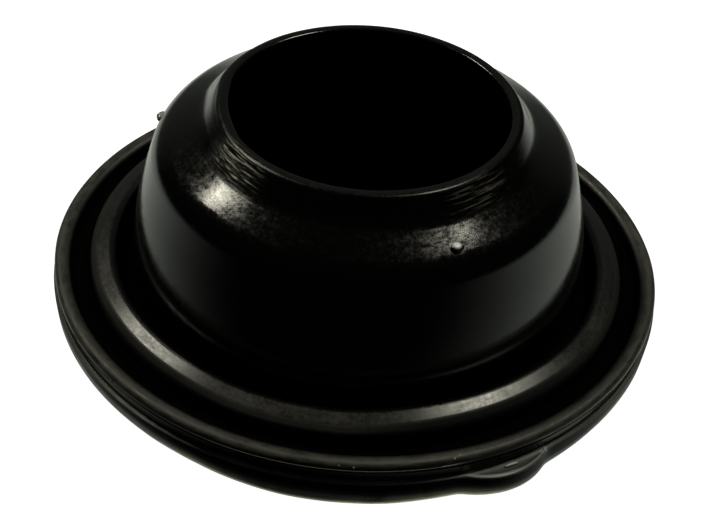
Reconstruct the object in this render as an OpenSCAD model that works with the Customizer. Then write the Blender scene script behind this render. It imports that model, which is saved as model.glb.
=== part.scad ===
// Diaphragm seal: a top-hat rubber moulding with a round flange, a barrelled wall, a shoulder and a mouth.
// It is one piece. Its section is turned about +Z, and a pull tab and two small pips are moulded onto it.
// The origin is on the axis at the flange's underside. +Z points out of the mouth, and +X through the tab.

/* [Flange] */
// Outer diameter of the flange plate
flange_d = 100; // [99:0.5:104]
// Thickness of the plate at its rim, up to the parting ledge
flange_t = 5; // [4:0.1:6]
// Radius of the rim's lower outer edge
edge_round = 2.2; // [1:0.1:3]
// Width of the parting ledge outside the bead
ledge_w = 0.7; // [0.4:0.1:1.2]
// Height of the channel floor above the parting ledge
floor_rise = 1.2; // [0.4:0.1:1.6]

/* [Sealing bead and ridge] */
// Radius of the outer bead's round section
bead_round = 1.4; // [1.2:0.05:1.6]
// Distance from the plate's outer edge to the bead's centre line
bead_inset = 1.65; // [1.6:0.05:2.2]
// Height of the bead's crest above the parting ledge
bead_rise = 3.7; // [3.6:0.1:4.5]
// Height of the undercut below the bead's widest line
undercut_h = 1; // [0.4:0.1:1.2]
// Diameter of the inner ridge, measured at its crest
ridge_d = 83.4; // [82.5:0.1:85]
// Radius of the ridge's round crest
ridge_round = 1.85; // [1.5:0.05:2]
// Height of the ridge's crest above the parting ledge
ridge_rise = 5.2; // [4.6:0.1:6]
// Radius at the feet of the ridge, the bead and the wall
foot_round = 0.8; // [0.3:0.1:1]

/* [Wall and shoulder] */
// Wall thickness of the body
wall_t = 1.5; // [1:0.1:1.8]
// Outer diameter at the wall's foot
wall_d = 74.3; // [73:0.1:75]
// Height of the middle of the wall's barrel curve
barrel_h = 17; // [16:0.1:18]
// Radius of the wall's barrel curve
barrel_r = 50; // [40:1:60]
// Diameter of the shoulder, measured where the lines of the wall and of the shoulder's slope cross
shoulder_d = 66.8; // [66:0.1:68]
// Height of the shoulder, measured at the same place
shoulder_h = 30.1; // [29:0.1:31]
// Radius of the shoulder's round
shoulder_round = 6; // [3:0.5:8]

/* [Neck and mouth] */
// Overall height of the seal
seal_h = 37.5; // [37:0.1:40]
// Diameter of the mouth
mouth_d = 44.8; // [42:0.1:46]
// Length of the mouth's straight land
mouth_land = 2; // [1:0.1:2.5]
// Thickness of the lip at the mouth
lip_t = 1.7; // [1.3:0.1:2]
// Radius of the lip's outer edge
lip_round = 0.6; // [0.3:0.1:0.9]
// Diameter of the crease between the neck and the shoulder
crease_d = 52.8; // [52:0.1:54]
// Height of the crease
crease_h = 33.8; // [33:0.1:34.5]
// Radius of the crease
crease_round = 4.5; // [1:0.5:5]

/* [Tab and pips] */
// How far the pull tab reaches past the plate's edge
tab_reach = 2.1; // [1.5:0.1:4]
// Radius of the tab's outline
tab_round = 11.3; // [9:0.1:14]
// Diameter of a moulding pip
pip_d = 1.9; // [1:0.1:2.2]
// How far a pip's centre lies under the skin
pip_sink = 0.15; // [0.05:0.05:0.3]
// Diameter of the circle on the shoulder that the gate pip stands on
gate_pip_d = 60.1; // [58:0.1:62]
// How far the nib of flash sits up the shoulder's round, in degrees above level
nib_rise = 24; // [22:1:40]
// Direction of the nib from the tab, in degrees
nib_angle = 230; // [180:1:270]

/* [Hidden] */
$fn = 96;
rim_r = flange_d / 2;
mouth_r = mouth_d / 2;
floor_h = flange_t + floor_rise;
bead_c = [rim_r - bead_inset, flange_t + bead_rise - bead_round];
ridge_c = [ridge_d / 2, flange_t + ridge_rise - ridge_round];
tab_c = rim_r + tab_reach - tab_round;
// Corners of the body's outer skin, from the wall's foot to the lip: radius, height and round
foot = [wall_d / 2, floor_h, foot_round];
barrel = [wall_d / 2, barrel_h, barrel_r];
shoulder = [shoulder_d / 2, shoulder_h, shoulder_round];
crease = [crease_d / 2, crease_h, crease_round];
lip = [mouth_r + lip_t, seal_h, lip_round];
// How far a corner's piece is drawn past the corner, as a share of the corner's height over its chord
past_corner = 0.2;
// An arc is larger than its round by this much, or by this share of it where that is less, so that the arc
// crosses the sides of its corner and never only touches them
crossing = 0.01;
crossing_share = 0.004;
// A round over this radius is drawn as a finer circle
large_round = 10;

function unit(v) = v / norm(v);
function place(c) = [c[0], c[1]];
// Outward direction of the side from a to b of a section that is drawn anticlockwise
function outward(a, b) = unit([b[1] - a[1], a[0] - b[0]]);
function is_convex(a, p, b) = (p[0] - a[0]) * (b[1] - p[1]) > (p[1] - a[1]) * (b[0] - p[0]);
// Corner p of a skin that lies a wall thickness inside the outer one, between the same neighbours a and b
function inside(a, p, b) = let (
    n1 = outward(a, p),
    n2 = outward(p, b),
    q = place(p) - wall_t * (n1 + n2) / (1 + n1 * n2)
) [q[0], q[1], p[2] + (is_convex(a, p, b) ? -wall_t : wall_t)];
// Point of the line from corner a to corner b, at share k of the way and `depth` under the skin
function under_skin(a, b, k, depth) = place(a) + k * (place(b) - place(a)) - depth * outward(a, b);

// The round of corner p: its two touching points, its centre and its radius
function round_of(a, p, b) = let (
    u = unit(place(a) - place(p)),
    v = unit(place(b) - place(p)),
    half = acos(u * v) / 2,
    touch = p[2] / tan(half)
) [place(p) + touch * u, place(p) + touch * v, place(p) + p[2] / sin(half) * unit(u + v)];

// What lies between a corner and its round: cut off where a corner stands out, filled in where it is hollow
module corner_piece(a, p, b) {
    r = round_of(a, p, b);
    tip = place(p) + past_corner * (place(p) - (r[0] + r[1]) / 2);
    difference() {
        polygon([r[0], tip, r[1]]);
        translate(r[2])
            circle(r = p[2] + min(crossing, p[2] * crossing_share), $fn = p[2] > large_round ? 360 : $fn);
    }
}

// Closed section whose corners are given anticlockwise, each rounded by its own radius with a true arc
module rounded_section(corners) {
    n = len(corners);
    rounds = [for (i = [0 : n - 1]) if (corners[i][2] > 0)
        [corners[(i + n - 1) % n], corners[i], corners[(i + 1) % n]]];
    difference() {
        polygon([for (c = corners) place(c)]);
        for (r = rounds) if (is_convex(r[0], r[1], r[2])) corner_piece(r[0], r[1], r[2]);
    }
    for (r = rounds) if (!is_convex(r[0], r[1], r[2])) corner_piece(r[0], r[1], r[2]);
}

// Half-round crest of a rib, on the line between its two sides
module crest(c, r) {
    translate(c) intersection() {
        circle(r = r);
        translate([-r, 0]) square([2 * r, r]);
    }
}

// Section of the whole seal, from the inside of the foot outwards, over the top and down the inside
module seal_section() {
    inner_barrel = inside(foot, barrel, shoulder);
    rounded_section([
        [inner_barrel[0], 0, 0],
        [rim_r, 0, edge_round],
        [rim_r, flange_t, 0],
        [rim_r - ledge_w, flange_t, 0],
        [rim_r - ledge_w, bead_c[1] - undercut_h, 0],
        [bead_c[0] + bead_round, bead_c[1], 0],
        [bead_c[0] - bead_round, bead_c[1], 0],
        [bead_c[0] - bead_round, floor_h, foot_round],
        [ridge_c[0] + ridge_round, floor_h, foot_round],
        [ridge_c[0] + ridge_round, ridge_c[1], 0],
        [ridge_c[0] - ridge_round, ridge_c[1], 0],
        [ridge_c[0] - ridge_round, floor_h, foot_round],
        foot,
        barrel,
        shoulder,
        crease,
        lip,
        [mouth_r, seal_h, 0],
        [mouth_r, seal_h - mouth_land, 0],
        inside(shoulder, crease, lip),
        inside(barrel, shoulder, crease),
        inner_barrel
    ]);
    crest(bead_c, bead_round);
    crest(ridge_c, ridge_round);
}

// Pull tab: a lobe with the rim's own height and lower edge, flush with the parting ledge
module pull_tab() {
    difference() {
        translate([tab_c, 0, 0]) rotate_extrude() rounded_section([
            [0, 0, 0],
            [tab_round, 0, edge_round],
            [tab_round, flange_t, 0],
            [0, flange_t, 0]
        ]);
        translate([0, 0, -1]) cylinder(r = rim_r - edge_round - ledge_w, h = flange_t + 2);
    }
}

// Small round pip with its centre at `seat` in the section, in direction a
module pip(seat, a) {
    rotate([0, 0, a]) translate([seat[0], 0, seat[1]]) rotate([0, 90, 90]) sphere(r = pip_d / 2, $fn = 24);
}

module diaphragm_seal() {
    gate_share = (gate_pip_d / 2 - shoulder[0]) / (crease[0] - shoulder[0]);
    nib_way = [cos(nib_rise), sin(nib_rise)];
    nib_seat = round_of(barrel, shoulder, crease)[2] + (shoulder_round - pip_sink) * nib_way;
    color([0.045, 0.045, 0.048]) union() {
        rotate_extrude() seal_section();
        pull_tab();
        pip(under_skin(shoulder, crease, gate_share, pip_sink), 0);
        pip(nib_seat, nib_angle);
    }
}

diaphragm_seal();
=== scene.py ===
# %% [markdown]
# # Dressing a moulded rubber seal
# The seal is one piece of black rubber: a flange with two ribs, a barrelled wall, a sloping
# shoulder and an open mouth. The measured solid is loaded first and never moved, because everything
# else is placed from it. Blender's lengths are metres here, so sizes in millimetres are multiplied
# by MM.

import math

import bmesh
import bpy
from mathutils import Matrix, Vector


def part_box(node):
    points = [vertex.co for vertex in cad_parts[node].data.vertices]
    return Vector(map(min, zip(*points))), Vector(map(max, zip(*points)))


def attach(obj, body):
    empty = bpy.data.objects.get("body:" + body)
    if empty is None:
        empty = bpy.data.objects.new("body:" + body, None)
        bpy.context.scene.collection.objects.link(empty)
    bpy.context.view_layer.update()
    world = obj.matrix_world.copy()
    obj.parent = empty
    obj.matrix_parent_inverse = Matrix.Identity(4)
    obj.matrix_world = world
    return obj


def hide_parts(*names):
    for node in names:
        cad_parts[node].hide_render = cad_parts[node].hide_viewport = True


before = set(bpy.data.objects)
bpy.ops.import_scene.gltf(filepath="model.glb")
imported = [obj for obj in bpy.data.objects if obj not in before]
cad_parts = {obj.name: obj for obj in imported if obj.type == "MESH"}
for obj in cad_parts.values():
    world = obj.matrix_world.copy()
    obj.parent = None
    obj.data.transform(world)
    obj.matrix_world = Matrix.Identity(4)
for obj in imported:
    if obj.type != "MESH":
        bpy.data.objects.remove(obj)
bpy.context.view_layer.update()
low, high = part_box("diaphragm_seal")
MM = 0.001
FULL_TURN = 2 * math.pi


def in_mm(place):
    return [round(value / MM, 1) for value in place]


def add_object(name, data):
    """A new object at the origin, shown in the scene."""
    made = bpy.data.objects.new(name, data)
    bpy.context.scene.collection.objects.link(made)
    return made


print("the solid reaches from", in_mm(low), "to", in_mm(high), "mm")

# %% [markdown]
# ## Camera
# The camera stands in front of the seal, looks down on it at about 39 degrees and is rolled a
# little. A camera can be aimed with a constraint, but a matrix of three turns says exactly where it
# looks, and the same three turns give its right and up directions, by which the aim is moved a
# little sideways.

# %% Camera
view_turn = math.radians(60.3)
view_down = math.radians(38.79)
view_roll = math.radians(4.5)
view_distance = 286.13 * MM
aim_height = 5 * MM
aim_right, aim_up = -0.46 * MM, 0.49 * MM
film_width = 36
photo_width = 705
focal_pixels = 1700

level = Matrix.Rotation(view_turn, 4, "Z")
tilt = Matrix.Rotation(math.radians(90) - view_down, 4, "X")
facing = level @ tilt @ Matrix.Rotation(view_roll, 4, "Z")
right, up, back = (facing.col[i].xyz for i in range(3))
aim = Vector((0, 0, aim_height)) + aim_right * right + aim_up * up
lens = bpy.data.cameras.new("view")
lens.sensor_width = film_width
lens.lens = focal_pixels / photo_width * film_width
camera = add_object("view", lens)
camera.matrix_world = Matrix.Translation(aim + view_distance * back) @ facing
bpy.context.scene.camera = camera
bpy.context.scene.view_settings.view_transform = "Standard"
print("lens", round(lens.lens, 1), "mm, camera at", in_mm(camera.matrix_world.translation), "mm")

# %% [markdown]
# ## A wire that does sums
# Node trees are wired by hand in the editor. In code, a small class around a socket lets a sum be
# written as a sum: each operator adds the Math node that it needs. The same class serves the shape
# trees and the materials, because both use the same Math node. Most marks on a turned part lie in a
# band of radius or height, so the class also has soft edges that are given in millimetres.

# %% The wire
class Wire:
    """A socket of a node tree: operators add Math nodes, and node() adds any other node."""

    def __init__(self, tree, socket=None):
        self.tree, self.socket = tree, socket

    def node(self, kind, inputs=(), out=0, **settings):
        """Adds a node with its settings, then with the values or links of its inputs."""
        made = self.tree.nodes.new(kind)
        for name, value in settings.items():
            setattr(made, name, value)
        for name, value in dict(inputs).items():
            if isinstance(value, Wire):
                self.tree.links.new(value.socket, made.inputs[name])
            else:
                made.inputs[name].default_value = value
        return Wire(self.tree, made.outputs[out] if len(made.outputs) else None)

    def other(self, name):
        """Another output of the same node."""
        return Wire(self.tree, self.socket.node.outputs[name])

    def math(self, operation, *values):
        return self.node("ShaderNodeMath", dict(enumerate(values)), operation=operation)

    def __add__(self, other): return self.math("ADD", self, other)
    def __radd__(self, other): return self.math("ADD", other, self)
    def __sub__(self, other): return self.math("SUBTRACT", self, other)
    def __rsub__(self, other): return self.math("SUBTRACT", other, self)
    def __mul__(self, other): return self.math("MULTIPLY", self, other)
    def __rmul__(self, other): return self.math("MULTIPLY", other, self)
    def __truediv__(self, other): return self.math("DIVIDE", self, other)
    def __pow__(self, other): return self.math("POWER", self, other)

    def cosine(self):
        return self.math("COSINE", self)

    def sine(self):
        return self.math("SINE", self)

    def step(self, start, end):
        """0 before start, 1 after end and smooth between them."""
        return self.node("ShaderNodeMapRange", {0: self, 1: start, 2: end},
                         interpolation_type="SMOOTHSTEP")

    def bump_at(self, middle, reach):
        """1 at middle, falling smoothly to 0 at reach on both sides."""
        return 1 - self.math("ABSOLUTE", self - middle).step(0.0, reach)

    def above(self, start, end):
        """0 before start and 1 after end, both in millimetres."""
        return self.step(start * MM, end * MM)

    def below(self, start, end):
        """1 before start and 0 after end, both in millimetres."""
        return 1 - self.above(start, end)

    def close_to(self, middle, reach):
        """1 at middle and 0 at reach on both sides, both in millimetres."""
        return self.bump_at(middle * MM, reach * MM)


def mix(share, first, second):
    """The first colour where share is 0 and the second where it is 1."""
    return share.node("ShaderNodeMix", {"Factor": share, 6: first, 7: second}, out=2,
                      data_type="RGBA")


def clear_nodes(owner):
    """Empties the node tree of a material or a world, and gives a wire to build on it."""
    owner.use_nodes = True
    owner.node_tree.nodes.clear()
    return Wire(owner.node_tree)


print("the wire is ready")

# %% [markdown]
# ## The section
# A turned moulding is known by its section: the outline that a cut through the axis would show.
# Here it is a list of corners, each with its own round. Drawing the arcs by hand would need
# hundreds of points, so only the corners are written down and Blender's Fillet Curve node rounds
# them.

# %% Sizes of the section
rim_r = high.y
seal_h = high.z
flange_t = 5 * MM
ledge_r = rim_r - 0.7 * MM
floor_h = 6.2 * MM
undercut_low, undercut_high = 6.3 * MM, 7.3 * MM
bead_r, bead_side, bead_h = rim_r - 1.65 * MM, 1.4 * MM, 8.4 * MM
bead_round = bead_side - 0.1 * MM
ridge_r, ridge_side = 41.8 * MM, 2.15 * MM
ridge_crest_r, ridge_crest_h = 40.8 * MM, 10.45 * MM
ridge_bend_r, ridge_bend_h = 43 * MM, 9.65 * MM
ridge_inner_h, ridge_outer_h = 10 * MM, 8.8 * MM
wall_t = 1.5 * MM
mouth_r = 22.4 * MM
mouth_land = 2 * MM
foot_round = 0.8 * MM
lower_edge_round = 2.2 * MM
small_round = 0.3 * MM
# A corner that looks sharp has a little round too, as moulded rubber does
sharp = 0.2 * MM
print("rim radius and height of the seal:", in_mm((rim_r, seal_h)), "mm")

# %% Corners of the section
# Corners of the body's outer skin: radius, height and round
foot = (37.15 * MM, floor_h, foot_round)
barrel = (37.15 * MM, 17 * MM, 50 * MM)
shoulder = (33.4 * MM, 30.1 * MM, 6 * MM)
crease = (26.4 * MM, 33.8 * MM, 4.5 * MM)
lip = (mouth_r + 1.7 * MM, seal_h, 1 * MM)


def inside(before, corner, after, sign):
    """The corner of the skin that lies a wall thickness inside the outer one.

    sign is 1 where the round grows by that thickness and -1 where it shrinks.
    """
    a, p, b = (Vector(c[:2]) for c in (before, corner, after))
    n1, n2 = ((Vector((q.y - o.y, o.x - q.x)).normalized()) for o, q in ((a, p), (p, b)))
    moved = p - wall_t * (n1 + n2) / (1 + n1.dot(n2))
    return moved.x, moved.y, corner[2] + sign * wall_t


inner_barrel = inside(foot, barrel, shoulder, -1)
corners = [
    # flange: underside, rim, parting ledge and undercut
    (inner_barrel[0], 0, 0.4 * MM),
    (rim_r, 0, lower_edge_round),
    (rim_r, flange_t, small_round),
    (ledge_r, flange_t, sharp),
    (ledge_r, undercut_low, sharp),
    # bead
    (bead_r + bead_side, undercut_high, 0.5 * MM),
    (bead_r + bead_side, bead_h, bead_round),
    (bead_r - bead_side, bead_h, bead_round),
    (bead_r - bead_side, floor_h, foot_round),
    # ridge, whose top slopes down towards the rim
    (ridge_r + ridge_side, floor_h, foot_round),
    (ridge_r + ridge_side, ridge_outer_h, 1 * MM),
    (ridge_bend_r, ridge_bend_h, 1.6 * MM),
    (ridge_crest_r, ridge_crest_h, 1.2 * MM),
    (ridge_r - ridge_side, ridge_inner_h, 0.6 * MM),
    (ridge_r - ridge_side, floor_h, foot_round),
    # body and mouth
    foot,
    barrel,
    shoulder,
    crease,
    lip,
    (mouth_r, seal_h, small_round),
    (mouth_r, seal_h - mouth_land, sharp),
    # inner skin
    inside(shoulder, crease, lip, 1),
    inside(barrel, shoulder, crease, -1),
    inner_barrel,
]
print(len(corners), "corners in the section")

# %% The section as a loop of edges
longest_step = 1.3 * MM
least_arc_steps, most_arc_steps = 2, 16
arc_steps_per_mm = 4.5
# How much of the tab's push each point across the ledge takes, from the edge inwards. The tab's
# top is made of these points, so they lie closest where its raised edge will be.
tab_pulls = [0.97, 0.94, 0.91, 0.88, 0.85, 0.81, 0.75, 0.65, 0.5, 0.35, 0.2, 0.08]


def tangent(before, corner, after):
    """How far from a corner its round begins."""
    a, p, b = (Vector(c[:2]) for c in (before, corner, after))
    return corner[2] / math.tan((a - p).angle(b - p) / 2)


def arc_steps(rounding):
    """Into how many edges a round is cut: more where it is larger, and one where there is none."""
    if rounding == 0:
        return 1
    return min(most_arc_steps, int(least_arc_steps + arc_steps_per_mm * rounding / MM))


def store(mesh, name, kind, values):
    """Keeps one number or one vector for each point of a mesh."""
    if kind == "FLOAT_VECTOR":
        field, values = "vector", [number for vector in values for number in vector]
    else:
        field = "value"
    mesh.attributes.new(name, kind, "POINT").data.foreach_set(field, values)


def section_loop():
    """A mesh of the section's corners, with points between them where a side is long."""
    n = len(corners)
    reach = [tangent(corners[i - 1], corners[i], corners[(i + 1) % n]) for i in range(n)]
    points = []
    for i, corner in enumerate(corners):
        after = corners[(i + 1) % n]
        points.append(corner + (float(corner[0] == rim_r),))
        way = Vector(after[:2]) - Vector(corner[:2])
        free = way.length - reach[i] - reach[(i + 1) % n]
        if corner[:2] == (rim_r, flange_t):
            spots = [(1 - pull, pull) for pull in tab_pulls]
        else:
            parts = int(free / longest_step)
            on_rim = float(corner[0] == after[0] == rim_r)
            spots = [(k / parts, on_rim) for k in range(1, parts)]
        for share, pull in spots:
            p = Vector(corner[:2]) + way.normalized() * (reach[i] + free * share)
            points.append((p.x, p.y, 0, pull))
    edges = [(i, (i + 1) % len(points)) for i in range(len(points))]
    mesh = bpy.data.meshes.new("section")
    mesh.from_pydata([(r, z, 0) for r, z, rounding, pull in points], edges, [])
    store(mesh, "round", "FLOAT", [point[2] for point in points])
    store(mesh, "steps", "INT", [arc_steps(point[2]) for point in points])
    store(mesh, "pull", "FLOAT", [point[3] for point in points])
    return mesh


section = add_object("seal_moulding", section_loop())
print(len(section.data.vertices), "points before rounding")

# %% [markdown]
# ## Turning the section
# The Spin tool or a Screw modifier would turn the section, but neither can push the rim out into
# the pull tab or bend the rubber a little out of round. A Geometry Nodes tree can: it sweeps the
# rounded section round a circle and then works out where each point goes from its radius, height
# and turn.

# %% Helpers for a shape tree
def new_tree(name, sizes):
    """An empty shape tree with named sizes: gives the tree, its start and a wire for each size."""
    tree = bpy.data.node_groups.new(name, "GeometryNodeTree")
    tree.interface.new_socket("Geometry", in_out="INPUT", socket_type="NodeSocketGeometry")
    for label, value in sizes.items():
        kind = "NodeSocketInt" if isinstance(value, int) else "NodeSocketFloat"
        tree.interface.new_socket(label, in_out="INPUT", socket_type=kind).default_value = value
    tree.interface.new_socket("Geometry", in_out="OUTPUT", socket_type="NodeSocketGeometry")
    start = Wire(tree).node("NodeGroupInput")
    return tree, start, {label: start.other(label) for label in sizes}


def attribute(wire, name, kind="FLOAT"):
    """A value that was kept for each point under that name."""
    return wire.node("GeometryNodeInputNamedAttribute", {"Name": name}, data_type=kind)


def keep(geometry, name, value, kind="FLOAT"):
    """Keeps a value for each point under that name."""
    fields = {"Geometry": geometry, "Name": name, "Value": value}
    return geometry.node("GeometryNodeStoreNamedAttribute", fields, data_type=kind)


def roughened(geometry, named, amount):
    """Smooth-shaded geometry, pushed in and out along its normals by noise: amount says how far."""
    noise_inputs = {"W": named["Seed"], "Scale": named["Lumps per metre"], "Detail": 2.0}
    lumps = geometry.node("ShaderNodeTexNoise", noise_inputs, noise_dimensions="4D")
    normal = geometry.node("GeometryNodeInputNormal")
    shift = normal.node("ShaderNodeVectorMath", {0: normal, "Scale": (lumps - 0.5) * amount * 2.0},
                        operation="SCALE")
    moved = geometry.node("GeometryNodeSetPosition", {"Geometry": geometry, "Offset": shift})
    return moved.node("GeometryNodeSetShadeSmooth", {"Geometry": moved, "Shade Smooth": True})


def finish_tree(geometry, material):
    """Ends a tree in real faces that wear one material."""
    real = geometry.node("GeometryNodeRealizeInstances", {0: geometry})
    dressed = real.node("GeometryNodeSetMaterial", {"Geometry": real, "Material": material})
    dressed.node("NodeGroupOutput", {0: dressed})


print("the helpers for shape trees are ready")

# %% Sizes of the turning tree
turning_sizes = {
    "Turns": 320,
    "Crowding at the tab": 0.5,
    "Rim radius": rim_r,
    "Tab reach": high.x - high.y,
    "Tab radius": 11.3 * MM,
    "Tab blend": 0.5 * MM,
    "Tab lip": 0.25 * MM,
    "Tab dish": 0.2 * MM,
    "Top lift": 0.35 * MM,
    "Mouth dent": 0.45 * MM,
    "Body lean": 0.15 * MM,
    "Body lean turn": view_turn,
    "Unevenness": 0.05 * MM,
    "Lumps per metre": 90.0,
    "Seed": 3,
}
rubber = bpy.data.materials.new("black_rubber")
turning, start, named = new_tree("turned_moulding", turning_sizes)
print(len(named), "named sizes")

# %% The turning tree: sweep
curve = start.node("GeometryNodeMeshToCurve", {0: start})
curve = curve.node("GeometryNodeFilletCurve", {
    "Curve": curve, "Count": attribute(curve, "steps", "INT"),
    "Radius": attribute(curve, "round"), "Limit Radius": True}, mode="POLY")
curve = keep(curve, "across", curve.node("GeometryNodeInputPosition"), "FLOAT_VECTOR")
rail = start.node("GeometryNodeCurvePrimitiveCircle", {"Resolution": named["Turns"], "Radius": 1.0})
rail = keep(rail, "turn", start.node("GeometryNodeSplineParameter"))
body = start.node("GeometryNodeCurveToMesh", {
    "Curve": rail, "Profile Curve": curve, "Fill Caps": False})

# The sweep's steps crowd together at the tab, where the rim bends most
even_turn = attribute(start, "turn") * FULL_TURN
angle = even_turn - even_turn.sine() * named["Crowding at the tab"]
cosine, sine = angle.cosine(), angle.sine()
across = start.node("ShaderNodeSeparateXYZ", {0: attribute(start, "across", "FLOAT_VECTOR")})
radius, height = across, across.other("Y")


def near(turn, reach):
    """1 at that turn of the seal, in degrees, and 0 from `reach` degrees away."""
    return (angle - math.radians(turn)).cosine().step(math.cos(math.radians(reach)), 1.0)


def pushes(rows):
    """Soft pushes round the seal: each row is a turn and a reach in degrees, and millimetres."""
    return sum(near(turn, reach) * amount for turn, reach, amount in rows) * MM


print("the section is swept in", turning_sizes["Turns"], "steps")

# %% The turning tree: tab and soft rubber
# The tab is a disc of its own radius whose far side stands out from the rim by its reach. Its edge
# is found along each ray from the axis, and is blended into the rim.
tab_middle = named["Rim radius"] + named["Tab reach"] - named["Tab radius"]
under_root = named["Tab radius"] ** 2.0 - (tab_middle * sine) ** 2.0
half_chord = under_root.math("MAXIMUM", under_root, 0.0) ** 0.5
lobe = tab_middle * cosine + half_chord - named["Rim radius"]
push = (lobe + (lobe ** 2.0 + named["Tab blend"] ** 2.0) ** 0.5) * 0.5
pull = attribute(start, "pull")
# Its top has a raised line near the edge, half as high towards one end, and is dished inside it
line_place, line_width = 0.92, 0.09
one_end = sine.step(0.0, 0.14)
tab_share = push.above(0.3, 0.9)
lip_line = pull.bump_at(line_place, line_width) * named["Tab lip"] * (1.0 - one_end * 0.5)
dish = pull * (1.0 - pull) * 4.0
tab_rise = tab_share * (lip_line - dish * named["Tab dish"])

# Soft rubber never lies quite round: rows of turn, reach and millimetres outwards or upwards
rim_pushes = [(80, 40, 0.4), (220, 36, 0.3)]
low_edge_pushes = [
    (331, 27, 0.5), (277, 34, -0.6), (308, 14, -0.15), (352, 14, -0.15), (35, 28, -0.45)]
ridge_rises = [(3, 34, 0.9), (283, 26, 0.4)]
mouth_dent_turn, mouth_dent_reach = 250, 24

flange_share = radius.step(40 * MM, rim_r)
low_edge_share = radius.above(46, 49) * height.below(1.0, 3.6)
body_share = height.above(7, 16)
mouth_share = height.step(29 * MM, seal_h)
dent = near(mouth_dent_turn, mouth_dent_reach) * named["Mouth dent"]
radius = radius + push * pull + flange_share * pushes(rim_pushes)
radius = radius + low_edge_share * pushes(low_edge_pushes) - mouth_share * dent
ridge_share = radius.above(39.2, 39.8) * radius.below(44.0, 44.6) * height.above(7.0, 10.0)
top_rise = height.above(20, 30) * named["Top lift"]
height = height + tab_rise + ridge_share * pushes(ridge_rises) + top_rise
lean = body_share * named["Body lean"]
place = start.node("ShaderNodeCombineXYZ", {
    0: radius * cosine + lean * named["Body lean turn"].cosine(),
    1: radius * sine + lean * named["Body lean turn"].sine(),
    2: height,
})
body = body.node("GeometryNodeSetPosition", {"Geometry": body, "Position": place})
# The underside stays flat, because the seal stands on it
off_the_floor = height.above(0.02, 0.5)
body = roughened(body, named, named["Unevenness"] * off_the_floor)
finish_tree(body, rubber)
print("the turning tree has", len(turning.nodes), "nodes")

# %% Turn the section and keep the result as a plain mesh
merge_gap = 0.001 * MM


def shape_with(carrier, tree, sizes):
    """Runs a tree on an object, keeps what it makes as a plain mesh and takes the modifier off."""
    modifier = carrier.modifiers.new(tree.name, "NODES")
    modifier.node_group = tree
    for item in tree.interface.items_tree:
        if item.in_out == "INPUT" and item.name in sizes:
            modifier[item.identifier] = sizes[item.name]
    bpy.context.view_layer.update()
    evaluated = carrier.evaluated_get(bpy.context.evaluated_depsgraph_get())
    mesh = bpy.data.meshes.new_from_object(evaluated)
    carrier.modifiers.clear()
    carrier.data = mesh
    surface = bmesh.new()
    surface.from_mesh(mesh)
    bmesh.ops.remove_doubles(surface, verts=surface.verts, dist=merge_gap)
    bmesh.ops.recalc_face_normals(surface, faces=surface.faces)
    surface.to_mesh(mesh)
    surface.free()
    return carrier


moulding = shape_with(section, turning, turning_sizes)
print(len(moulding.data.polygons), "faces in the moulding")

# %% [markdown]
# ## Pips, nib and bar
# Where rubber was fed or the mould was vented, a small pip stays on the skin, and where the mould's
# halves met badly a nib of flash sticks out. They could be sculpted one by one, but all of them are
# one ball that is stretched, turned onto the skin and roughened, so points carry the numbers and a
# tree puts a ball on each.

# %% Places on the skin
def on_skin(first, second, share_of_way, depth):
    """A point of the side between two corners of the section, and the side's outward direction."""
    a, b = Vector(first[:2]), Vector(second[:2])
    out = Vector((b.y - a.y, a.x - b.x)).normalized()
    return a.lerp(b, share_of_way) - depth * out, out


def on_round(before, corner, after, rise, depth):
    """A point on a corner's round, at that rise above level, and the round's outward direction."""
    p = Vector(corner[:2])
    u, v = ((Vector(c[:2]) - p).normalized() for c in (before, after))
    middle = p + corner[2] / math.sin(u.angle(v) / 2) * (u + v).normalized()
    out = Vector((math.cos(rise), math.sin(rise)))
    return middle + (corner[2] - depth) * out, out


def seat(point, out, turn, on_body=1):
    """The same place turned round the axis, with the directions out of the skin and along the turn.

    on_body is 1 where the place moves with the body's lean and lift, and 0 where it does not.
    """
    spin = Matrix.Rotation(math.radians(turn), 3, "Z")
    lean_by = turning_sizes["Body lean"] * on_body
    lift_by = turning_sizes["Top lift"] * on_body
    moved = Vector((math.cos(view_turn) * lean_by, math.sin(view_turn) * lean_by, lift_by))
    out_of_skin, along_turn = Vector((out.x, 0, out.y)), Vector((0, 1, 0))
    return spin @ Vector((point.x, 0, point.y)) + moved, spin @ out_of_skin, spin @ along_turn


gate_way, gate_depth, gate_turn = 0.39, -0.12 * MM, -1.7
nib_rise, nib_depth, nib_turn = math.radians(23), 0.2 * MM, 230
bar_r, bar_depth, bar_turn = 50.35 * MM, 0.1 * MM, 0.5
straight_up = Vector((0, 1))
gate_seat = seat(*on_skin(shoulder, crease, gate_way, gate_depth), gate_turn)
nib_seat = seat(*on_round(barrel, shoulder, crease, nib_rise, nib_depth), nib_turn, on_body=0)
bar_seat = seat(Vector((bar_r, flange_t - bar_depth)), straight_up, bar_turn, on_body=0)
small_parts = [
    # seat, stretch along the turn, up the skin and outwards, and how uneven
    (gate_seat, (1.12, 0.85, 0.55), 0.08),
    (nib_seat, (1.2, 0.85, 0.95), 1.0),
    (bar_seat, (1.25, 0.25, 0.3), 0.1),
]
print("gate pip at", in_mm(gate_seat[0]), "mm, nib at", in_mm(nib_seat[0]), "mm")

# %% The tree that puts a ball on each place
seats, stretches, unevenness = zip(*small_parts)
places, outwards, turnwards = zip(*seats)
pip_mesh = bpy.data.meshes.new("pips")
pip_mesh.from_pydata(places, [], [])
store(pip_mesh, "out", "FLOAT_VECTOR", outwards)
store(pip_mesh, "along", "FLOAT_VECTOR", turnwards)
store(pip_mesh, "stretch", "FLOAT_VECTOR", stretches)
store(pip_mesh, "uneven", "FLOAT", unevenness)
pips = add_object("pips", pip_mesh)

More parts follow.
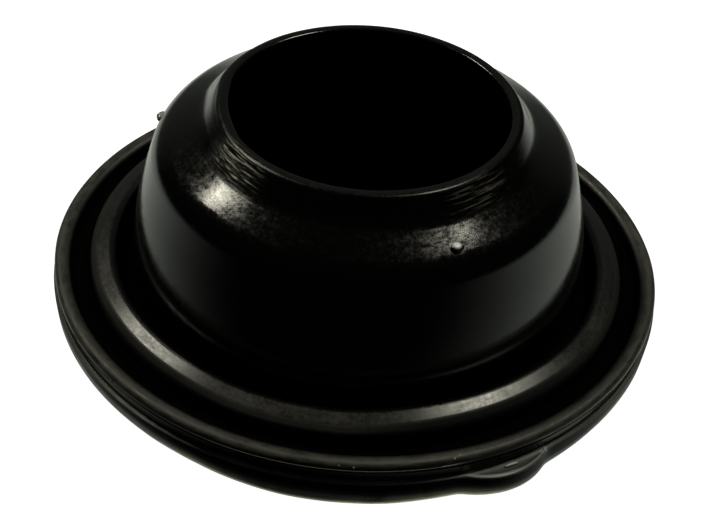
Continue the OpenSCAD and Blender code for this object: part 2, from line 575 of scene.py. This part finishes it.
pip_sizes = {
    "Pip radius": 0.95 * MM,
    "Segments": 32,
    "Rings": 16,
    "Unevenness": 0.6 * MM,
    "Lumps per metre": 900.0,
    "Seed": 5,
}
pip_tree, start, named = new_tree("pips_on_the_skin", pip_sizes)
ball = start.node("GeometryNodeMeshUVSphere", {
    "Segments": named["Segments"], "Rings": named["Rings"], "Radius": named["Pip radius"]})
points = start.node("GeometryNodeMeshToPoints", {"Mesh": start})
facing_out = start.node("FunctionNodeAlignRotationToVector", {
    "Vector": attribute(start, "out", "FLOAT_VECTOR")}, axis="Z")
turned = start.node("FunctionNodeAlignRotationToVector", {
    "Rotation": facing_out, "Vector": attribute(start, "along", "FLOAT_VECTOR")},
    axis="X", pivot_axis="Z")
dots = start.node("GeometryNodeInstanceOnPoints", {
    "Points": points, "Instance": ball, "Rotation": turned,
    "Scale": attribute(start, "stretch", "FLOAT_VECTOR")})
dots = dots.node("GeometryNodeRealizeInstances", {0: dots})
dots = roughened(dots, named, attribute(start, "uneven") * named["Unevenness"])
finish_tree(dots, rubber)
pips = shape_with(pips, pip_tree, pip_sizes)
print(len(pips.data.polygons), "faces in the pips")

# %% [markdown]
# ## Black rubber
# The moulded skin is nearly black and shines softly. It is not one finish, though: the mould was
# turned on a lathe, so fine lines run round the neck, and where they face the lights they carry
# painted glints; the skin is pitted, which breaks the highlights into grains; the edges that other
# parts rub on have gone dull and grey-olive, and on the rim's lower edge that colour is partly a
# painted reflection of the paper; and the channels and the rim's side are painted shade, a matt
# black in place of the shiny skin. Painted highlights sit on the gate pip, the tab's edge and the
# shoulder's corner, and painted light on the nib. A single colour and roughness would look like
# plastic, so each of these is a mask worked out from the place on the seal.

# %% Places and patterns
start = clear_nodes(rubber)
coords = start.node("ShaderNodeTexCoord", out="Object")
axis = start.node("ShaderNodeSeparateXYZ", {0: coords})
east, north, height = axis, axis.other("Y"), axis.other("Z")
radius = (east ** 2.0 + north ** 2.0) ** 0.5
cosine, sine = east / radius, north / radius
slope = radius - height


def noise(vector, scale, detail, rough):
    return start.node("ShaderNodeTexNoise", {
        "Vector": vector, "Scale": scale, "Detail": detail, "Roughness": rough})


def turned_noise(round_scale, up_scale, rough):
    """Noise drawn out round the axis, as marks of turning are."""
    place = start.node("ShaderNodeCombineXYZ", {
        0: cosine * round_scale, 1: sine * round_scale, 2: slope * up_scale})
    return noise(place, 1.0, 4.0, rough)


def towards(turn, reach):
    """1 at that turn of the seal, in degrees, and 0 from `reach` degrees away."""
    way = math.radians(turn)
    return (cosine * math.cos(way) + sine * math.sin(way)).step(math.cos(math.radians(reach)), 1.0)


def spot(place, reach):
    """1 at a place on the seal, and 0 from `reach` away."""
    gap = start.node("ShaderNodeVectorMath", {0: coords, 1: tuple(place)},
                     operation="DISTANCE", out="Value")
    return 1 - gap.step(reach * 0.4, reach)


def around(turn, r, z):
    """The place at that turn in degrees, and that radius and height in millimetres."""
    way = math.radians(turn)
    return Vector((r * math.cos(way), r * math.sin(way), z)) * MM


# Lumps a metre, and for the turned patterns lumps round the axis and lumps a metre up the skin
cloud_scale, grain_scale = 130.0, 1700.0
line_scales, scuff_scales = (5.0, 2600.0), (16.0, 800.0)
clouds = noise(coords, cloud_scale, 4.0, 0.6)
grain = noise(coords, grain_scale, 3.0, 0.6)
turned_lines = turned_noise(*line_scales, 0.65)
scuffs = turned_noise(*scuff_scales, 0.6)
print("four patterns: clouds, grain, turned lines and scuffs")

# %% Dull places, wear, painted shade and painted light
bead_top = radius.close_to(49.25, 1.9) * height.above(7.2, 8.2)
bead_zone = radius.above(47.0, 47.6) * radius.below(49.8, 50) * height.above(7, 8)
ridge_top = radius.close_to(42.2, 2.2) * height.above(8.5, 9.5)
ridge_zone = radius.above(39.5, 39.9) * radius.below(43.9, 44.1) * height.above(7.5, 8.5)
ridge_outer_side = ridge_zone * radius.above(42.8, 43.2)
low_edge = height.below(2.6, 3.8) * radius.above(46, 47)
ledge = radius.above(49.35, 49.5) * height.close_to(5, 0.4) * radius.below(50.1, 50.4)
tab_top = radius.above(49.9, 50.3) * height.above(4.45, 4.7)
# Grey-olive: wear on the bead's top and dust on the ledge; on the rim's lower edge it is partly a
# painted reflection of the paper
olive_wear_and_painted_reflection = bead_top * (0.1 + scuffs.step(0.3, 0.7) * 0.6)
olive_wear_and_painted_reflection = olive_wear_and_painted_reflection + (low_edge * 0.8 + ledge * 2.0 + ridge_top * 0.02) * (0.4 + clouds * 1.1)

# Painted shade: the channels and the rim's side take a matt black in place of the shiny skin, as
# shade would darken them; the lip's edge takes the matt black too, less so towards the left of the
# camera
groove_shade = radius.above(36.5, 36.8) * radius.below(47.0, 47.3) * height.below(7.2, 8.2)
rim_side_shade = radius.above(49.7, 49.9) * height.above(2.2, 3) * height.below(4.5, 4.8)
lip_edge = radius.close_to(23.6, 1.1) * height.above(36.2, 36.9)
lip_round = radius.close_to(24.1, 0.6) * height.above(36.0, 36.5)
lip_matt = lip_round * (1 - towards(280, 60) * 0.4) * 0.7

# Pale marks: the rim's lower edge, partly wear and partly a painted reflection of the paper, with
# more of it at the front; dust on the ledge; and a painted highlight along the tab's edge
edge_wear_and_painted_reflection = radius.above(46, 47) * height.below(1.7, 2.9) * towards(341, 13)
edge_wear_and_painted_reflection = edge_wear_and_painted_reflection * clouds.step(0.3, 0.5)
front_dust_and_painted_reflection = (ledge * (1 - tab_top) + low_edge * 0.5) * towards(325, 55)
front_dust_and_painted_reflection = front_dust_and_painted_reflection * clouds.step(0.25, 0.75)
tab_centre = high.x - turning_sizes["Tab radius"]
tab_gap = ((east - tab_centre) ** 2.0 + north ** 2.0) ** 0.5
# Painted highlight: a pale line along the tab's raised edge, brighter towards one end
tab_edge_highlight = tab_gap.close_to(11.05, 0.3) * tab_top * (0.3 + towards(353, 10) * 0.6)
bar_ends = north.close_to(0.57, 1.5).step(0.0, 0.4)
tab_bar = bar_ends * radius.close_to(50.33, 0.35) * height.above(4.9, 5.05)
tab_grit = spot(around(7.5, 50.2, 5.0), 1.4 * MM) * grain.step(0.5, 0.6) * 0.4
print("worn places: the bead's top, the rim's lower edge and the tab")

# %% Turning lines with painted glints, dust specks, and painted light on the nib and the gate pip
# The neck's wear makes it rougher at two turns, to the left and to the right of the camera, and at
# these turns its turning lines carry painted glints: pale colour standing in for highlights
neck = radius.close_to(25.3, 2.4) * height.above(32, 33.5)
neck_wear = neck * (towards(281, 20) * 1.5 + towards(10, 16) * 0.25)
neck_wear = neck_wear * (0.3 + turned_lines.step(0.35, 0.65) * 0.7)
# Painted glints: the turning lines are painted pale at the two turns that face the lights
lines = turned_lines.step(0.5, 0.64) * neck * clouds.step(0.3, 0.55)
lines = lines * (towards(281, 14) * 1.5 + towards(12, 18) * 0.15)
# Each speck: turn in degrees, radius, height and reach in millimetres, and strength. The two on the
# shoulder's corner, at a radius of about 32 mm, are painted glints; the others are dust.
speck_rows = [
    (330.1, 49.5, 8.0, 0.2, 0.3),
    (332.6, 49.6, 7.9, 0.2, 0.8),
    (351.1, 48.9, 8.6, 0.28, 0.6),
    (350.0, 49.3, 8.2, 0.2, 0.4),
    (293.1, 32.2, 29.5, 0.35, 0.12),
    (9.3, 32.0, 29.7, 0.35, 0.12),
    (224.6, 45.6, 6.2, 0.3, 0.3),
]
specks = [spot(around(turn, r, z), reach * MM) * strength
          for turn, r, z, reach, strength in speck_rows]
speck = sum(specks[1:], specks[0])
gate_place, nib_place = gate_seat[0], nib_seat[0]
# Painted highlight: the top of the gate pip is painted near white, a little up its slope
gate_highlight_shift = Vector((-0.1, 0, 0.65)) * MM
# Painted light: the thin nib of flash is painted pale where the backlight shows through it
nib_painted_backlight = spot(nib_place, 1.5 * MM)
gate = spot(gate_place, 1.3 * MM)
gate_painted_highlight = spot(gate_place + gate_highlight_shift, 0.9 * MM)
print(len(specks), "specks, and dust on the nib")

# %% The rubber's shader
black = (0.0013, 0.0013, 0.0013, 1)
olive = (0.06, 0.059, 0.048, 1)
tab_grey = (0.12, 0.14, 0.14, 1)
# The pale colours carry wear and dust, and also painted light: glints, highlights, a reflection and a
# glow
pale_wear_and_painted_light = (0.62, 0.67, 0.66, 1)
pale_dust_and_painted_light = (0.75, 0.72, 0.62, 1)
pip_highlight_white = (0.75, 0.79, 0.85, 1)
skin_roughness = 0.12
relief_height = 0.02 * MM

colour = mix(tab_top * (0.05 + clouds * 0.6), mix(olive_wear_and_painted_reflection, black, olive), tab_grey)
# Pale: a painted highlight on the tab's edge, painted light on the nib, dust at the front that is
# partly a painted reflection, and the tab's bar and grit
colour = mix(tab_edge_highlight + tab_bar + tab_grit + front_dust_and_painted_reflection + nib_painted_backlight * 0.45, colour, pale_wear_and_painted_light)
# Pale: dust specks, painted glints on the shoulder and on the neck's turning lines, and the rim's
# lower edge, partly a painted reflection of the paper
colour = mix(speck + edge_wear_and_painted_reflection, mix(lines * 1.2, colour, pale_dust_and_painted_light), pale_dust_and_painted_light)
# Painted highlight on the gate pip's top
colour = mix(gate_painted_highlight, colour, pip_highlight_white)
dull = skin_roughness + clouds * 0.05 + (grain - 0.5) * 0.25 + (scuffs - 0.5) * 0.2
dull = dull + (olive_wear_and_painted_reflection + tab_top) * 0.3 + bead_zone * 0.3 + ridge_zone * 0.18
dull = dull + ridge_outer_side * 0.25 + lip_edge * 0.12 + neck_wear * 0.42 + gate * 0.25
relief = grain * 0.6 + turned_lines * neck * 0.5
bump = start.node("ShaderNodeBump", {
    "Height": relief, "Strength": 0.5, "Distance": relief_height})
skin = start.node("ShaderNodeBsdfPrincipled", {
    "Base Color": colour, "Roughness": dull, "Normal": bump})
matt = start.node("ShaderNodeBsdfDiffuse", {"Color": black})
# Painted shade in the channels and on the rim's side, and a matt black lip
matt_shade_share = groove_shade + rim_side_shade * 0.7 + lip_matt
surface = start.node("ShaderNodeMixShader", {0: matt_shade_share, 1: skin, 2: matt})
start.node("ShaderNodeOutputMaterial", {"Surface": surface})
print("the rubber has", len(rubber.node_tree.nodes), "nodes")

# %% [markdown]
# ## Studio
# The seal stands on pale paper that curves up behind it. The paper is a real sheet, so the seal has
# something to stand on from every side. It is kept out of the rubber's reflections, because the
# room below already gives them. It is cut away under the seal, so that the underside can be looked
# at, and a black disc closes the hollow, where no light comes.

# %% Paper and shade
ring_sides = 96
paper_hole = 48.2 * MM
paper_inner, paper_flat, paper_top = 0.2, 1.2, 2.0
bend_round, bend_steps = 0.5, 10
shade_r, shade_lift = 36.5 * MM, 0.03 * MM


def ring_mesh(name, rings, closed):
    """A round sheet turned from points of radius and height, open or closed at the middle."""
    made = bmesh.new()
    centre = made.verts.new((0, 0, rings[0][1])) if closed else None
    turns = [FULL_TURN * i / ring_sides for i in range(ring_sides)]
    rows = [[made.verts.new((r * math.cos(t), r * math.sin(t), z)) for t in turns]
            for r, z in rings]
    for i in range(ring_sides):
        j = (i + 1) % ring_sides
        if closed:
            made.faces.new((centre, rows[0][i], rows[0][j]))
        for lower, upper in zip(rows, rows[1:]):
            made.faces.new((lower[i], upper[i], upper[j], lower[j]))
    mesh = bpy.data.meshes.new(name)
    made.to_mesh(mesh)
    made.free()
    return mesh


def plain_material(name, colour, glow=None):
    """A matt material of one colour, which may also glow white."""
    material = bpy.data.materials.new(name)
    start = clear_nodes(material)
    surface = start.node("ShaderNodeBsdfDiffuse", {"Color": colour})
    if glow:
        light = start.node("ShaderNodeEmission", {"Color": (1, 1, 1, 1), "Strength": glow})
        surface = start.node("ShaderNodeAddShader", {0: light, 1: surface})
    start.node("ShaderNodeOutputMaterial", {"Surface": surface})
    return material


paper_rings = [(paper_hole, 0), (paper_inner, 0), (paper_flat, 0)]
for k in range(1, bend_steps + 1):
    t = math.radians(90 * k / bend_steps)
    bend_r, bend_h = bend_round * math.sin(t), bend_round - bend_round * math.cos(t)
    paper_rings.append((paper_flat + bend_r, bend_h))
paper_rings.append((paper_flat + bend_round, paper_top))
floor = add_object("floor", ring_mesh("floor", paper_rings, closed=False))
floor.data.materials.append(plain_material("pale_paper", (0.4, 0.4, 0.4, 1), glow=1.0))
floor.visible_glossy = floor.visible_diffuse = floor.visible_shadow = False
shade_rings = [(shade_r, shade_lift)]
shade = add_object("shade_in_the_hollow", ring_mesh("shade", shade_rings, closed=True))
shade.data.materials.append(plain_material("deep_shade", (0, 0, 0, 1)))
print(len(floor.data.polygons), "faces in the paper")

# %% [markdown]
# ## Lights
# Two soft boxes stand to the left and the right, behind the seal and above it. Their turn is
# counted from the camera's side, so that they are easy to place. Black rubber shows little but
# reflections, so what matters is how wide a box looks from the seal and how bright its face is.

# %% Soft boxes
box_distance = 0.8
warm = (1, 0.97, 0.8)


def heading(turn):
    """The level direction at that turn from the camera's side, in degrees, as east and north."""
    way = view_turn + math.radians(turn - 90)
    return math.cos(way), math.sin(way)


def soft_light(name, turn, rise, side, power):
    """A square soft box that faces the seal, at that turn from the camera's side and that rise."""
    box = bpy.data.lights.new(name, "AREA")
    box.shape = "RECTANGLE"
    box.size = box.size_y = side
    box.energy, box.color = power, warm
    level_part = math.cos(math.radians(rise))
    east_part, north_part = (part * level_part for part in heading(turn))
    direction = Vector((east_part, north_part, math.sin(math.radians(rise))))
    stand = Matrix.Translation(Vector((0, 0, seal_h / 2)) + direction * box_distance)
    lamp = add_object(name, box)
    lamp.matrix_world = stand @ direction.to_track_quat("Z", "Y").to_matrix().to_4x4()


soft_light("left_box", turn=-121.5, rise=50.5, side=0.15, power=2.2)
soft_light("right_box", turn=116, rise=65, side=0.16, power=2.5)
print("two soft boxes")

# %% [markdown]
# ## Room
# The walls of the seal mirror the low, pale part of the room behind it and the dark part in front.
# One even grey would flatten them, so the room is pale low at the back and fades towards the front
# and the ceiling. A warm glow from straight below reaches the rim's lower edge and the underside.

# %% The room's brightness by direction
pale_green = (0.93, 1, 0.88, 1)
warm_white = (1, 0.93, 0.6, 1)
high_strength, under_strength, least_strength = 0.09, 1.1, 0.005

world = bpy.data.worlds.new("room")
bpy.context.scene.world = world
start = clear_nodes(world)
way = start.node("ShaderNodeTexCoord", out="Generated")
rise = start.node("ShaderNodeSeparateXYZ", {0: way}).other("Z")


def along(turn):
    """How far a direction points to that turn from the camera's side: 1 straight, -1 opposite."""
    target = heading(turn) + (0,)
    return start.node("ShaderNodeVectorMath", {0: way, 1: target},
                      operation="DOT_PRODUCT", out="Value")


# rise is -1 straight down, 0 level and 1 straight up
behind, to_right = along(180), along(90)
low_part = 1 - rise.step(-0.26, -0.06)
fade = behind.step(-0.85, 0.35)
left_side = 1 - to_right.step(-0.3, 0.3)
low_glow = low_part * fade * (0.55 + left_side * (behind * 0.45 - 0.28))
high_glow = (1 - low_part) * behind.step(0.45, 0.95) * high_strength
under_glow = 1 - rise.step(-0.97, -0.85)
strength = low_glow + high_glow + under_glow * under_strength + least_strength
room = start.node("ShaderNodeBackground", {
    "Color": mix(under_glow, pale_green, warm_white), "Strength": strength})
start.node("ShaderNodeOutputWorld", {"Surface": room})
print("a room of", len(world.node_tree.nodes), "nodes")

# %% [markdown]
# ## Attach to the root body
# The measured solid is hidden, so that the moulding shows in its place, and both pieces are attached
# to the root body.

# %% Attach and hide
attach(moulding, "root")
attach(pips, "root")
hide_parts("diaphragm_seal")
